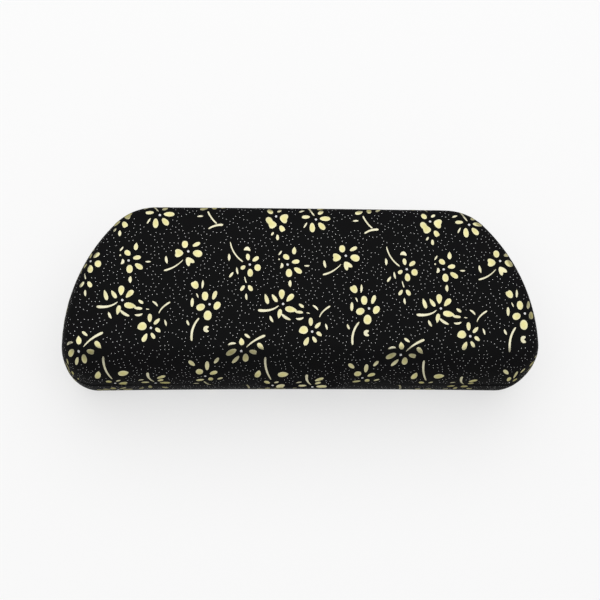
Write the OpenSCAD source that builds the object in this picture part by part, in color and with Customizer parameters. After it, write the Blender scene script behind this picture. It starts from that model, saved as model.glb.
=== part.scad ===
// Hard clamshell case for eyeglasses: two pressed steel shells under printed cloth,
// lined inside, on a spring-snap hinge along the back.
// Millimetres, Z up, front at -Y, hinge at +Y. The case is drawn closed.

/* [Case size] */
// Width of the closed case, left to right
case_w = 160; // [146:1:176]
// Depth of the rim outline, front to back
case_d = 59; // [54:1:66]
// Height of the closed case
case_h = 38; // [34:1:44]
// Height of the split between base and lid
split_h = 18; // [16:0.5:20]

/* [Outline seen from above] */
// Radius of the two front corners
front_r = 11; // [9:0.5:15]
// Radius of the two back corners
back_r = 20; // [15:1:25]
// Turn of each slanting side, in degrees
side_turn = 42; // [38:1:48]

/* [Section] */
// Width of the lid's roll-off at the front
lid_front_roll = 10; // [7:0.5:10]
// Width of the lid's roll-off at the sides and back
lid_side_roll = 5.5; // [4:0.5:8]
// Width of the base's roll-off at the front
base_front_roll = 4.5; // [4:0.5:8]
// Width of the base's roll-off at the sides and back
base_side_roll = 6; // [4:0.5:8]
// Fall of the lid's crown from the middle to each end
crown_x = 1; // [0:0.25:2]
// Fall of the lid's crown from the middle to the front and the back
crown_y = 2; // [0:0.25:3]
// Gap between the two cloth rims
rim_gap = 0.3; // [0.3:0.05:0.6]

/* [Thumb lip] */
// Width of the lip pressed into the lid's front rim
lip_w = 26; // [20:1:34]
// How far the lip flares out
lip_out = 1.5; // [0.8:0.1:2.4]
// How far the rim rises under the lip
lip_rise = 0.6; // [0:0.1:1.2]
// Hollow of the base's front wall, at the middle
base_bow = 0.5; // [0:0.1:1.2]

/* [Layers] */
// Thickness of the backed cloth
cloth_t = 0.7; // [0.5:0.05:0.9]
// Thickness of the pressed steel
shell_t = 0.5; // [0.4:0.05:0.7]
// Thickness of the cards behind the linings
card_t = 0.7; // [0.5:0.05:0.8]
// Thickness of the flocked linings
lining_t = 0.8; // [0.6:0.05:1.2]
// Glue line between two layers
glue = 0.1; // [0.1:0.01:0.15]
// How far the cloth turns in behind the rim
turn_in = 7; // [5:0.5:8]
// How far the cards stop short of the flat faces' edges
card_in = 1.5; // [0.5:0.25:4]

/* [Hinge] */
// Length of the hinge
hinge_l = 92; // [80:1:94]
// Radius of the hinge pin
pin_r = 0.9; // [0.8:0.05:1]
// Running clearance of the pin, on the radius
pin_play = 0.05; // [0.03:0.01:0.08]
// Thickness of the hinge leaves
leaf_t = 0.75; // [0.6:0.05:0.8]
// Height of each leaf from the pin's axis
leaf_h = 7.5; // [7:0.25:8]
// Gap between neighbouring knuckles
knuckle_gap = 0.35; // [0.3:0.05:0.6]
// Radius of a rivet's shank
rivet_r = 1; // [0.8:0.05:1.1]

/* [Snap spring] */
// Width of the spring
spring_w = 20; // [16:1:24]
// Thickness of the spring strip
spring_t = 0.4; // [0.3:0.05:0.5]
// How far the spring stands forward of the pin's axis
spring_reach = 9.5; // [9:0.25:12]

/* [Hidden] */
$fn = 48;

// Depths of the layers below the outer face of the cloth
shell_out = cloth_t + glue;
shell_in = shell_out + shell_t;
fold_out = shell_in + glue;
fold_in = fold_out + cloth_t;
lining_out = fold_out + max(cloth_t, card_t) + 2 * glue;
lining_in = lining_out + lining_t;

// Rims, and where the shells and linings stop behind them
base_rim = split_h - rim_gap / 2;
lid_rim = split_h + rim_gap / 2;
shell_stop = cloth_t + glue;
lining_stop = 1.2;

// Hinge barrel, and its axis behind the back wall of the shells
barrel_r = pin_r + pin_play + leaf_t;
leaf_clear = 0.2;
axis_depth = shell_in + leaf_clear - (barrel_r - leaf_t);
barrel_proud = max(barrel_r - axis_depth, 0);
notch = barrel_r + 0.4;
// Room left at each end of the hinge by the cloth and shell, and by the lining
slot_room = 0.8;
window_room = 1.5;

// Rim outline, centred so that lip and barrel are inside the box that has its middle at y = 0
yc = (lip_out - barrel_proud) / 2;
y_front = yc - case_d / 2;
y_back = yc + case_d / 2;
y_axis = y_back - axis_depth;
side_r = (case_d - front_r - back_r * (1 - sin(side_turn))) / sin(side_turn);
front_c = [case_w / 2 - front_r, y_front + front_r];
side_c = [case_w / 2 - side_r, y_front + front_r];
back_c = side_c + (side_r - back_r) * [cos(side_turn), sin(side_turn)];
hinge_len = min(hinge_l, 2 * (back_c.x - 2));

// Roll-offs as [front, side, back], and how square each section is
lid_rolls = [min(lid_front_roll, front_r - 1), lid_side_roll, lid_side_roll];
base_rolls = [min(base_front_roll, front_r - 1), base_side_roll, base_side_roll];
squareness = [2, 2.4, 3.5];

// Rows of the section, in degrees from the rim (0) to the face (90)
rows = [90, 74, 60, 46, 32, 19];

// Hooks pressed out of the leaves, and seats of the snap spring, measured from the pin's axis
hook_w = 5;
hook_t = 0.6;
bead_r = 0.5;
seat_y = -(barrel_r + bead_r + 0.4);
seat_z = barrel_r + 3.5;
seat_far = norm([seat_y, seat_z]);
// The spring is as long as the seats are apart at mid travel, so it clears both hooks
spring_l = 2 * seat_far + 0.25;

// One point of the rim outline: [x, y, direction of its outward normal]
function arc(c, r, t) = [c.x + r * cos(t), c.y + r * sin(t), t];
function steps(a, b, n) = [for (i = [0:n - 1]) a + (b - a) * i / n];
half_front = concat(
    [for (k = [0, 0.6, 0.8, 1, 1.2, 1.4]) [k * lip_w / 2, y_front, -90]],
    [for (x = steps(0.9 * lip_w, front_c.x, 3)) [x, y_front, -90]]);
right_side = concat(
    half_front,
    [for (t = steps(-90, 0, 6)) arc(front_c, front_r, t)],
    [for (t = steps(0, side_turn, 6)) arc(side_c, side_r, t)],
    [for (t = steps(side_turn, 90, 5)) arc(back_c, back_r, t)],
    [for (x = [back_c.x, back_c.x / 2]) [x, y_back, 90]]);
last = len(right_side) - 1;
outline = concat(
    right_side,
    [[0, y_back, 90]],
    [for (i = [last:-1:1]) let (s = right_side[i]) [-s.x, s.y, 180 - s.z]]);

function blend3(list, n) =
    (n.y < 0 ? list[0] : list[2]) * n.y * n.y + list[1] * n.x * n.x;
function at_front(n) = n.y < 0 ? n.y * n.y : 0;
function smooth(t) = let (c = min(max(t, 0), 1)) c * c * (3 - 2 * c);
function lip_share(x) = smooth((1.3 - abs(x) / (lip_w / 2)) / 0.6);
function bow_share(x) = max(0, 1 - pow(x / front_c.x, 2));

// Top of the lid over a point of the plan, and how fast it falls along a normal
function lid_face(p) =
    case_h - crown_x * pow(2 * p.x / case_w, 2) - crown_y * pow(2 * (p.y - yc) / case_d, 2);

function lid_fall(p, n) =
    8 * crown_x * p.x * n.x / pow(case_w, 2) + 8 * crown_y * (p.y - yc) * n.y / pow(case_d, 2);

function normal(s) = [cos(s.z), sin(s.z)];
function inner(s, rolls) = [s.x, s.y] - blend3(rolls, normal(s)) * normal(s);

// Point of the lid at depth d: u runs out to the rim outline and v up from the rim to the face.
// The roll starts with the crown's own fall, so there is no crease between them.
function lid_point(s, d, u, v) = let (
    n = normal(s),
    in = inner(s, lid_rolls),
    roll = blend3(lid_rolls, n),
    lip = lip_share(s.x) * at_front(n) * pow(1 - v, 4),
    xy = in + (roll - d) * u * n,
    fall = lid_fall(in, n) * roll * u * pow(1 - u, 2),
    z = lid_rim + (lid_face(in) - d - lid_rim) * v - fall)
    [xy.x, xy.y - lip_out * lip, z + lip_rise * lip];

// Point of the base at depth d, with v running down from the rim to the floor
function base_point(s, d, u, v) = let (
    n = normal(s),
    xy = inner(s, base_rolls) + (blend3(base_rolls, n) - d) * u * n,
    bow = base_bow * bow_share(s.x) * at_front(n))
    [xy.x, xy.y + bow, base_rim - (base_rim - d) * v];

function any_point(lid, s, d, u, v) = lid ? lid_point(s, d, u, v) : base_point(s, d, u, v);
function wall_height(lid, s, d) =
    lid ? lid_face(inner(s, lid_rolls)) - d - lid_rim : base_rim - d;

// Ring of points at depth d, on a row of the section or at height h from the rim
function row_ring(lid, d, t) = [for (s = outline)
    let (p = blend3(squareness, normal(s)))
    any_point(lid, s, d, pow(cos(t), 2 / p), pow(sin(t), 2 / p))];
function rim_ring(lid, d, h) = [for (s = outline)
    let (p = blend3(squareness, normal(s)), v = h / wall_height(lid, s, d))
    any_point(lid, s, d, pow(1 - pow(v, p), 1 / p), v)];
function face_ring(d, q) = [for (s = outline)
    let (p = [0, yc] + q * (inner(s, lid_rolls) - [0, yc]))
    [p.x, p.y, lid_face(p) - d]];
function card_edge(rolls) = [for (s = outline) inner(s, rolls) - card_in * normal(s)];
function card_ring(d) = [for (p = card_edge(lid_rolls)) [p.x, p.y, lid_face(p) - d]];

function wall(lid, d) = [for (t = rows) row_ring(lid, d, t)];
function cap(d) = [for (q = [1 / 3, 2 / 3]) face_ring(d, q)];
function reversed(list) = [for (i = [len(list) - 1:-1:0]) list[i]];

// Closed skin over rings that run from the outer face round the rim to the inner face.
// A lid closes on a tip in the middle of its crown, a base on one flat floor.
module skin(rings, lid, d_out, d_in) {
    n = len(outline);
    m = len(rings);
    tips = lid ? [[0, yc, lid_face([0, yc]) - d_out], [0, yc, lid_face([0, yc]) - d_in]] : [];
    points = concat([for (r = rings) each r], tips);
    sides = [for (i = [0:m - 2], j = [0:n - 1])
        let (a = i * n + j, b = i * n + (j + 1) % n)
        each [[a, b, b + n], [a, b + n, a + n]]];
    ends = lid
        ? [for (j = [0:n - 1]) let (k = (j + 1) % n, e = (m - 1) * n)
            each [[m * n, k, j], [m * n + 1, e + j, e + k]]]
        : [[for (j = [n - 1:-1:0]) j], [for (j = [0:n - 1]) (m - 1) * n + j]];
    faces = concat(sides, ends);
    polyhedron(points, lid ? faces : [for (f = faces) reversed(f)]);
}

module layer(lid, d_out, d_in, rim) {
    out = concat(lid ? cap(d_out) : [], wall(lid, d_out));
    in = concat(lid ? cap(d_in) : [], wall(lid, d_in));
    skin(concat(out, rim, reversed(in)), lid, d_out, d_in);
}

// Cloth over the outside, folded round the rim and turned in behind it
module folded_cloth(lid) {
    layer(lid, 0, cloth_t, [
        rim_ring(lid, 0, 1.2),
        rim_ring(lid, 0.25, 0.55),
        rim_ring(lid, shell_out, 0),
        rim_ring(lid, fold_out, 0),
        rim_ring(lid, fold_in, 0.4),
        rim_ring(lid, fold_in, turn_in),
        rim_ring(lid, fold_out, turn_in),
        rim_ring(lid, fold_out, cloth_t),
        rim_ring(lid, cloth_t, cloth_t)]);
}

module plain_layer(lid, d_out, d_in, stop) {
    layer(lid, d_out, d_in, [rim_ring(lid, d_out, stop), rim_ring(lid, d_in, stop)]);
}

// Box across the hinge, from one depth behind the back wall to another
module hinge_box(length, depth_far, depth_near, half_height) {
    translate([-length / 2, y_back - depth_far, split_h - half_height])
        cube([length, depth_far - depth_near, 2 * half_height]);
}

module barrel_slot() {
    hinge_box(hinge_len + 2 * slot_room, lining_in, -2 * barrel_r, notch);
}

module fold_slot() {
    hinge_box(hinge_len + 2 * slot_room, lining_in, shell_in + glue / 2, leaf_h + slot_room);
}

module lining_window() {
    hinge_box(hinge_len + 2 * window_room, lining_in + window_room, shell_in, leaf_h + window_room);
}

// Things along the hinge, drawn from the pin's axis; the lid's are mirrored over the split
module at_axis(lid) {
    translate([0, y_axis, split_h])
        mirror([0, 0, lid ? 1 : 0])
            children();
}

module bar_x(length, r) {
    rotate([0, 90, 0])
        cylinder(h = length, r = r, center = true);
}

module block(length, y0, y1, z0, z1) {
    translate([-length / 2, y0, z0])
        cube([length, y1 - y0, z1 - z0]);
}

knuckles = 7;
pitch = (hinge_len + knuckle_gap) / knuckles;
function knuckle_x(i) = (i - (knuckles - 1) / 2) * pitch;

rivet_xs = [for (side = [-1, 1], k = [0.28, 0.44]) side * k * hinge_len];
rivet_z = -(barrel_r + 3.4);
module at_rivets(lid) {
    at_axis(lid)
        for (x = rivet_xs)
            translate([x, 0, rivet_z])
                rotate([-90, 0, 0])
                    children();
}

// Depth of a point, as y from the pin's axis
function axis_y(depth) = axis_depth - depth;

module rivet_holes(lid, play) {
    at_rivets(lid)
        translate([0, 0, axis_y(lining_in) - leaf_h])
            cylinder(h = 2 * leaf_h, r = rivet_r + play);
}

module rivets(lid) {
    head = axis_y(shell_in) - leaf_clear - leaf_t;
    at_rivets(lid) {
        translate([0, 0, head])
            cylinder(h = axis_y(shell_out) - glue - head, r = rivet_r);
        translate([0, 0, head - 0.6])
            cylinder(h = 0.6, r1 = rivet_r + 0.2, r2 = rivet_r + 0.8);
    }
}

// Hooks pressed out of a leaf hold the beaded ends of the snap spring
module spring_hooks(lip, room) {
    shelf = -(seat_z - bead_r - 0.2);
    front = seat_y - bead_r - room;
    for (x = [-0.3, 0.3] * spring_w)
        translate([x, 0, 0]) {
            block(hook_w, front - hook_t, -barrel_r + leaf_t / 2, shelf, shelf + hook_t);
            block(hook_w, front - hook_t, front, shelf - lip, shelf + hook_t / 2);
        }
}

module hinge_leaf(lid) {
    mine = [for (i = [0:knuckles - 1]) if (i % 2 == (lid ? 1 : 0)) i];
    length = pitch - knuckle_gap;
    difference() {
        at_axis(lid) {
            difference() {
                union() {
                    block(hinge_len, -barrel_r, -barrel_r + leaf_t, -leaf_h, -notch);
                    for (i = mine)
                        translate([knuckle_x(i), 0, 0]) {
                            block(length, -barrel_r, -barrel_r + leaf_t, -notch - 0.5, 0);
                            bar_x(length, barrel_r);
                        }
                    spring_hooks(lid ? 1.4 : 0.6, lid ? 1.1 : 0.4);
                }
                bar_x(hinge_len + 2, pin_r + pin_play);
            }
        }
        rivet_holes(lid, 0.02);
    }
}

// Quarter of a bent strip round a bend, in the quarter that points to [sy, sz]
module bend(y, z, r, sy, sz) {
    translate([0, y, z])
        intersection() {
            difference() {
                bar_x(spring_w, r + spring_t / 2);
                bar_x(spring_w + 1, r - spring_t / 2);
            }
            block(spring_w + 2, sy < 0 ? -2 * r : 0, sy < 0 ? 0 : 2 * r,
                sz < 0 ? -2 * r : 0, sz < 0 ? 0 : 2 * r);
        }
}

module base_shell() {
    color("silver")
        difference() {
            plain_layer(false, shell_out, shell_in, shell_stop);
            barrel_slot();
            rivet_holes(false, 0.02);
        }
}

module base_cloth() {
    color([0.09, 0.09, 0.09])
        difference() {
            folded_cloth(false);
            barrel_slot();
            fold_slot();
        }
}

module base_lining() {
    color([0.25, 0.25, 0.27])
        difference() {
            plain_layer(false, lining_out, lining_in, lining_stop);
            lining_window();
        }
}

module base_card() {
    color("tan")
        translate([0, 0, fold_out])
            linear_extrude(card_t)
                polygon(card_edge(base_rolls));
}

module base_hinge_leaf() {
    color("gray")
        hinge_leaf(false);
}

module base_rivets() {
    color("gold")
        rivets(false);
}

module hinge_pin() {
    color("silver")
        at_axis(false)
            bar_x(hinge_len + 0.6, pin_r);
}

module lid_shell() {
    color("silver")
        difference() {
            plain_layer(true, shell_out, shell_in, shell_stop);
            barrel_slot();
            rivet_holes(true, 0.02);
        }
}

module lid_cloth() {
    color([0.09, 0.09, 0.09])
        difference() {
            folded_cloth(true);
            barrel_slot();
            fold_slot();
        }
}

module lid_lining() {
    color([0.25, 0.25, 0.27])
        difference() {
            plain_layer(true, lining_out, lining_in, lining_stop);
            lining_window();
        }
}

// Card that follows the lid's crown, with a plain edge
module lid_card() {
    card_back = fold_out + card_t;
    edge = [card_ring(fold_out), card_ring(card_back)];
    color("tan")
        skin(concat(cap(fold_out), edge, reversed(cap(card_back))), true, fold_out, card_back);
}

module lid_hinge_leaf() {
    color("gray")
        hinge_leaf(true);
}

module lid_rivets() {
    color("gold")
        rivets(true);
}

// C-shaped strip that pulls the two leaves over centre
module snap_spring() {
    leg = 1.4;
    bend_r = 1.6;
    nose_r = 3;
    low = -seat_z;
    high = low + spring_l;
    run_low = low - leg - bend_r;
    run_high = high + leg + bend_r;
    nose = -spring_reach;
    half = spring_t / 2;
    color("dimgray")
        at_axis(false) {
            for (end = [[low, -1], [high, 1]]) {
                z = end[0];
                up = end[1];
                run = z + up * (leg + bend_r);
                translate([0, seat_y, z])
                    bar_x(spring_w, bead_r);
                block(spring_w, seat_y - half, seat_y + half, min(z, z + up * leg), max(z, z + up * leg));
                bend(seat_y - bend_r, z + up * leg, bend_r, 1, up);
                block(spring_w, nose + nose_r, seat_y - bend_r, run - half, run + half);
                bend(nose + nose_r, run - up * nose_r, nose_r, -1, up);
            }
            block(spring_w, nose - half, nose + half, run_low + nose_r, run_high - nose_r);
        }
}

base_shell();
base_cloth();
base_lining();
base_card();
base_hinge_leaf();
base_rivets();
hinge_pin();
lid_shell();
lid_cloth();
lid_lining();
lid_card();
lid_hinge_leaf();
lid_rivets();
snap_spring();
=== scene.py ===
"""Eyeglasses case: cloth covers, flower print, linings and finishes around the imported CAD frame."""
import math

import bpy
import numpy as np
from mathutils import Matrix, Vector


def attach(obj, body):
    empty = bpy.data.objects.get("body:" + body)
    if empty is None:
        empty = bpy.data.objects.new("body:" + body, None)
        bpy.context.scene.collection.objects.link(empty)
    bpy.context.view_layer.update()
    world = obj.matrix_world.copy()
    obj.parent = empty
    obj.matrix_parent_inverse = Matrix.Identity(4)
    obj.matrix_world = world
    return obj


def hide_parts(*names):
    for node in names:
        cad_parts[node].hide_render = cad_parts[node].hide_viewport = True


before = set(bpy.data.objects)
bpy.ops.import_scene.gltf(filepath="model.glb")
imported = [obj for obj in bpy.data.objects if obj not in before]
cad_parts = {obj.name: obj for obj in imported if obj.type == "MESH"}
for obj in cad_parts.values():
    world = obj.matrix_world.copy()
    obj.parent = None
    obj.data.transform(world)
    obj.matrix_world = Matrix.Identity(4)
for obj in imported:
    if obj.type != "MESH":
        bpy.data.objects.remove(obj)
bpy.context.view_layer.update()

# Sizes in millimetres. The case's form, layers and hinge are those of the part's source

# Width and depth of the rim outline, height of the case and of its seam, and the outline's middle along Y
CASE_W, CASE_D, CASE_H, SPLIT_H = 160.0, 59.0, 38.0, 18.0
Y_MID = 0.175
# Radii of the front and back corners, and the turn at which a side meets its back corner
FRONT_R, BACK_R, SIDE_TURN = 11.0, 20.0, math.radians(42.0)
# Gap between the two rims
RIM_GAP = 0.3
# Thumb lip: its width, how far it stands out and up, where its fading starts and ends as shares of half its
# width, and the power by which it dies out up the wall. The base's front bows in below it
LIP_W, LIP_OUT, LIP_RISE = 26.0, 1.5, 0.6
LIP_FULL, LIP_END, LIP_POWER = 0.7, 1.3, 4
BASE_BOW = 0.5
# How far the lid's top falls at its ends, and at its front and back
CROWN_X, CROWN_Y = 1.0, 2.0
# Width of the roll between flat face and rim at front, side and back, and how square its section is there,
# where 2 is an ellipse
LID_ROLL, BASE_ROLL = (10.0, 5.5, 5.5), (4.5, 6.0, 6.0)
SQUARENESS = (2.0, 2.4, 3.5)
# Cloth: thickness, height of the turn-in, depth of the turn-in's two faces, height of the fold's round, and
# about how much cloth the fold and then the raw edge take up
CLOTH_T, TURN_IN, FOLD_OUT, FOLD_IN = 0.7, 7.0, 1.4, 2.1
FOLD_H, FOLD_RUN, EDGE_RUN = 1.2, 2.0, 1.0
# Lining: depth of its two faces, and height of its edge over the rim
LINING_OUT, LINING_IN, LINING_STOP = 2.3, 3.1, 1.2
# Hinge: its length, the height of the notch for its barrel and of its leaves, and the room that the cloth
# and the lining leave beside it
HINGE_LEN, NOTCH, LEAF_H = 92.0, 2.1, 7.5
NOTCH_ROOM, WINDOW_ROOM = 0.8, 1.5
# Width of the step at the side of a cut, and slack in telling what lies inside it
CUT_STEP, CUT_SLACK = 0.04, 0.01

# Places that follow from the sizes
Y_FRONT, Y_BACK = Y_MID - CASE_D / 2, Y_MID + CASE_D / 2
LID_RIM, BASE_RIM = SPLIT_H + RIM_GAP / 2, SPLIT_H - RIM_GAP / 2
SIDE_R = (CASE_D - FRONT_R - BACK_R * (1 - math.sin(SIDE_TURN))) / math.sin(SIDE_TURN)
FRONT_C = (CASE_W / 2 - FRONT_R, Y_FRONT + FRONT_R)
SIDE_C = (CASE_W / 2 - SIDE_R, FRONT_C[1])
BACK_C = (SIDE_C[0] + (SIDE_R - BACK_R) * math.cos(SIDE_TURN),
          SIDE_C[1] + (SIDE_R - BACK_R) * math.sin(SIDE_TURN))
# Height of the lid's wall, about, by which the cloth's length over the roll is measured
LID_WALL = 18.6

# Metres in a millimetre, and units of the cloth map in a millimetre
MM, MAP_UNIT = 0.001, 0.01

# How finely things are divided: the rim, the rows of covers and linings, and the tables of the roll, which
# are read just short of their last row
RIM_STEPS = dict(front=80, corner=25, side=34, back_corner=22, beside_cut=3, in_cut=46)
COVER_ROWS = dict(face=17, wall=45, fold=13, turn_in=5, back=11, under=5)
LINING_ROWS, ROW_POWER = dict(face=13, wall=31, edge=7, back=11, under=5), 1.15
ROLL_STEPS, SHARE_TRIES, TABLE_END = 401, 200, 1.001
TURNS = np.radians(np.linspace(-90, 90, 121))
SHARES = np.linspace(0, 1, 301)


# Surface of the two halves

def round_rim(values, turn):
    """A front, side and back value blended round the rim by the squares of the rim normal's two parts."""
    ny = np.sin(turn)
    return np.where(ny < 0, values[0], values[2]) * ny**2 + values[1] * np.cos(turn)**2


def roll_width(lid, turn):
    """Width of the half's roll at a rim turn."""
    return round_rim(LID_ROLL if lid else BASE_ROLL, turn)


def lid_face(x, y):
    """Height of the lid's top: a shallow dome that falls with the square of the way from the middle."""
    return CASE_H - CROWN_X * (2 * x / CASE_W)**2 - CROWN_Y * (2 * (y - Y_MID) / CASE_D)**2


def lid_fall(x, y, nx, ny):
    """How fast the lid's top falls along the rim normal."""
    return 8 * CROWN_X * x * nx / CASE_W**2 + 8 * CROWN_Y * (y - Y_MID) * ny / CASE_D**2


def lip_share(x):
    """One at the middle of the thumb lip, and a smooth step down to nothing past its two ends."""
    t = np.clip((LIP_END - np.abs(x) / (LIP_W / 2)) / (LIP_END - LIP_FULL), 0, 1)
    return t * t * (3 - 2 * t)


def outward(turn):
    """The rim's outward normal at a turn."""
    return np.stack([np.cos(turn), np.sin(turn)], -1)


def inner_line(lid, rim, turn):
    """Where the flat face ends: the rim line moved in by the roll's width."""
    return rim - roll_width(lid, turn)[..., None] * outward(turn)


def wall_point(lid, rim, turn, u, v, depth):
    """A point of the wall: out from the inner line by u of the roll and up by v of the wall's height,
    under the cloth's face by depth. The lid's crown runs on into the roll and dies out there, its front
    flares to the lip, and the base's front bows in."""
    nx, ny = np.cos(turn), np.sin(turn)
    roll = roll_width(lid, turn)
    inner = inner_line(lid, rim, turn)
    x = inner[..., 0] + (roll - depth) * u * nx
    y = inner[..., 1] + (roll - depth) * u * ny
    front = np.where(ny < 0, ny**2, 0)
    if lid:
        fall = lid_fall(inner[..., 0], inner[..., 1], nx, ny) * roll * u * (1 - u)**2
        z = LID_RIM + (lid_face(inner[..., 0], inner[..., 1]) - depth - LID_RIM) * v - fall
        lip = lip_share(x) * front * (1 - v)**LIP_POWER
        return np.stack([x, y - LIP_OUT * lip, z + LIP_RISE * lip], -1)
    z = BASE_RIM - (BASE_RIM - depth) * v
    bow = BASE_BOW * np.maximum(0, 1 - (x / FRONT_C[0])**2) * front
    return np.stack([x, y + bow, z], -1)


def roll_point(lid, rim, turn, angle, depth):
    """A point of the rounded wall by its roll angle: a quarter of a rounded square, 0 at the flat face."""
    power = 2 / round_rim(SQUARENESS, turn)
    return wall_point(lid, rim, turn, np.sin(angle)**power, np.cos(angle)**power, depth)


def angle_at_height(lid, rim, turn, height, depth):
    """The roll angle at which the wall stands that far from the rim."""
    inner = inner_line(lid, rim, turn)
    whole = lid_face(inner[..., 0], inner[..., 1]) - depth - LID_RIM if lid else BASE_RIM - depth
    share = np.clip(height / whole, 0, 1)
    return np.arccos(share**(round_rim(SQUARENESS, turn) / 2))


# Cloth length over the roll, so that print and rows keep their spacing round the edge

def roll_lengths(lid):
    """For each rim turn the roll's whole length, and the roll angle at even shares of that length."""
    angles = (1 - np.cos(np.linspace(0, np.pi, ROLL_STEPS))) * np.pi / 4
    power = 2 / round_rim(SQUARENESS, TURNS)[:, None]
    out = roll_width(lid, TURNS)[:, None] * np.sin(angles)**power
    up = (LID_WALL if lid else BASE_RIM) * np.cos(angles)**power
    steps = np.hypot(np.diff(out, axis=1), np.diff(up, axis=1))
    run = np.concatenate([np.zeros((len(TURNS), 1)), np.cumsum(steps, 1)], 1)
    even = np.array([np.interp(SHARES * row[-1], row, angles) for row in run])
    return run[:, -1], even


ROLL = {True: roll_lengths(True), False: roll_lengths(False)}


def right_half_turn(turn):
    """The same turn on the right half of the case."""
    return np.where(turn > np.pi / 2, np.pi - turn, turn)


def roll_length(lid, turn):
    """Cloth length from the flat face to the rim."""
    return np.interp(right_half_turn(turn), TURNS, ROLL[lid][0])


def roll_angle(lid, turn, share):
    """The roll angle at a share of the roll's length, read between the rows of the table."""
    i = np.clip((right_half_turn(turn) - TURNS[0]) / (TURNS[1] - TURNS[0]), 0, len(TURNS) - TABLE_END)
    j = np.clip(share, 0, 1) * (len(SHARES) - TABLE_END)
    a, b = i.astype(int), j.astype(int)
    f, g = i - a, j - b
    table = ROLL[lid][1]
    near = table[a, b] * (1 - g) + table[a, b + 1] * g
    far = table[a + 1, b] * (1 - g) + table[a + 1, b + 1] * g
    return near * (1 - f) + far * f


def share_at_angle(lid, turn, angle):
    """The share of the roll's length at which it reaches an angle, counted in even tries."""
    shape = (SHARE_TRIES, len(turn))
    tries = np.broadcast_to(np.linspace(0, 1, SHARE_TRIES)[:, None], shape)
    reached = roll_angle(lid, np.broadcast_to(turn, shape), tries)
    return (reached < angle).sum(0) / (SHARE_TRIES - 1)


# Mesh helpers

# Edges sharper than this stay hard, and points that agree to this many digits are one
SHARP_ANGLE, WELD_DIGITS = math.radians(38), 5


def add_piece(name, points, faces, body, material, cloth_map=None, warmth=None):
    """A mesh from points in millimetres and groups of faces by point number, riding on a body. It may carry
    a cloth map, and how warm its gold is at each point."""
    mesh = bpy.data.meshes.new(name)
    mesh.from_pydata((points * MM).tolist(), [], [face for group in faces for face in group.tolist()])
    mesh.update()
    if cloth_map is not None:
        layer = mesh.uv_layers.new(name="cloth_map")
        loop_points = np.empty(len(mesh.loops), np.int32)
        mesh.loops.foreach_get("vertex_index", loop_points)
        layer.data.foreach_set("uv", np.asarray(cloth_map, np.float32)[loop_points].ravel())
    if warmth is not None:
        layer = mesh.attributes.new("warmth", "FLOAT", "POINT")
        layer.data.foreach_set("value", warmth.astype(np.float32))
    mesh.shade_smooth()
    mesh.set_sharp_from_angle(angle=SHARP_ANGLE)
    mesh.materials.append(material)
    piece = bpy.data.objects.new(name, mesh)
    bpy.context.scene.collection.objects.link(piece)
    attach(piece, body)
    return piece


def weld(points, faces, extra):
    """Merges equal points, drops the faces that vanish with them and makes a face with one doubled corner
    a triangle. A closed skin that encloses less than nothing is turned inside out."""
    _, first, place = np.unique(np.round(points, WELD_DIGITS), axis=0, return_index=True, return_inverse=True)
    faces = place.ravel()[faces]
    points, extra = points[first], extra[first]
    same = faces == np.roll(faces, -1, 1)
    quads = faces[same.sum(1) == 0]
    one = same.sum(1) == 1
    thirds = faces[one][~same[one]].reshape(-1, 3)
    fans = np.concatenate([thirds, quads[:, [0, 1, 2]], quads[:, [0, 2, 3]]])
    a, b, c = points[fans[:, 0]], points[fans[:, 1]], points[fans[:, 2]]
    if np.einsum("ij,ij->", a, np.cross(b, c)) < 0:
        quads, thirds = quads[:, ::-1], thirds[:, ::-1]
    return points, [quads, thirds], extra


def rim_stations(cut):
    """The rim line once round from the middle of the front: straight, front corner arc, side arc,
    back corner arc, straight back with a station on each side of the cut, then the same mirrored.
    Gives the points, the outward turns and where a station lies inside the cut."""
    front_x = np.linspace(0, FRONT_C[0], RIM_STEPS["front"])[:-1]
    turns = (np.linspace(-np.pi / 2, 0, RIM_STEPS["corner"])[:-1],
             np.linspace(0, SIDE_TURN, RIM_STEPS["side"])[:-1],
             np.linspace(SIDE_TURN, np.pi / 2, RIM_STEPS["back_corner"])[:-1])
    back_x = np.concatenate([np.linspace(BACK_C[0], cut + CUT_STEP, RIM_STEPS["beside_cut"]),
                             np.linspace(cut, 0, RIM_STEPS["in_cut"])])
    arcs = zip(turns, (FRONT_C, SIDE_C, BACK_C), (FRONT_R, SIDE_R, BACK_R))
    bends = [np.array(centre) + radius * outward(turn) for turn, centre, radius in arcs]
    rim = np.concatenate([np.stack([front_x, np.full_like(front_x, Y_FRONT)], 1), *bends,
                          np.stack([back_x, np.full_like(back_x, Y_BACK)], 1)])
    turn = np.concatenate([np.full_like(front_x, -np.pi / 2), *turns, np.full_like(back_x, np.pi / 2)])
    rim = np.concatenate([rim, rim[-2:0:-1] * (-1, 1)])
    turn = np.concatenate([turn, np.pi - turn[-2:0:-1]])
    inside = (np.abs(rim[:, 0]) <= cut + CUT_SLACK) & (rim[:, 1] > Y_BACK - CUT_SLACK)
    return rim, turn, inside


def skin_from_rows(rows, maps):
    """A closed skin from rows of points once round the case, each next to the one before, whose first
    and last row are each one point."""
    grid, chart = np.stack(rows), np.stack(maps) * MAP_UNIT
    count, around = grid.shape[:2]
    a = np.arange(count - 1)[:, None] * around + np.arange(around)[None, :]
    b = np.arange(count - 1)[:, None] * around + np.roll(np.arange(around), -1)[None, :]
    faces = np.stack([a, b, b + around, a + around], -1).reshape(-1, 4)
    return weld(grid.reshape(-1, 3), faces, chart.reshape(-1, 2))


def face_rows(lid, inner, depth, shares):
    """Rows over the flat face: the inner line shrunk to the middle by each share."""
    rows = []
    for share in shares:
        x = inner[:, 0] * share
        y = Y_MID + (inner[:, 1] - Y_MID) * share
        z = lid_face(x, y) - depth if lid else np.full_like(x, depth)
        rows.append(np.stack([x, y, z], 1))
    return rows


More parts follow.
